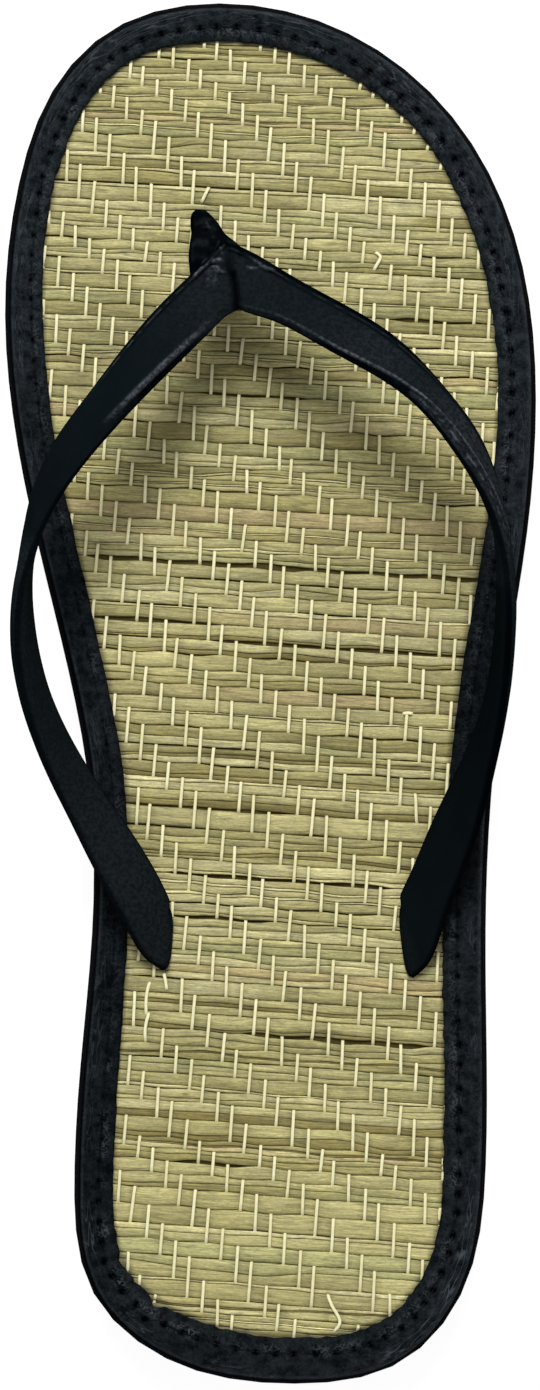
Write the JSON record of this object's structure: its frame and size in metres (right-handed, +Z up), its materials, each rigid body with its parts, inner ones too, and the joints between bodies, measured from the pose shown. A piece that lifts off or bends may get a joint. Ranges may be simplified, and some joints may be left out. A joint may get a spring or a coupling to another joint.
{
  "type": "flip-flop",
  "caption": "Right-foot flip-flop: foam sole with heel wedge, woven rush insole, bound edge, and a padded V-strap on a toe post.",
  "frame": {"origin": "centre of the outline on the ground plane that the tread rests on", "axes": "+Y from heel to toe, +X to the outer side of the right foot, +Z up"},
  "size_m": [0.0984, 0.255, 0.0477],
  "materials": {
    "foam": "matt closed-cell foam, black",
    "rush": "twill of straw-coloured rush on cream cotton warps",
    "binding": "black soft synthetic leather, satin, creased at the curves",
    "strap": "black padded synthetic leather, satin sheen"
  },
  "bodies": {
    "root": {"sole": "foam", "insole": "rush", "edge_binding": "binding", "strap": "strap"}
  },
  "joints": []
}
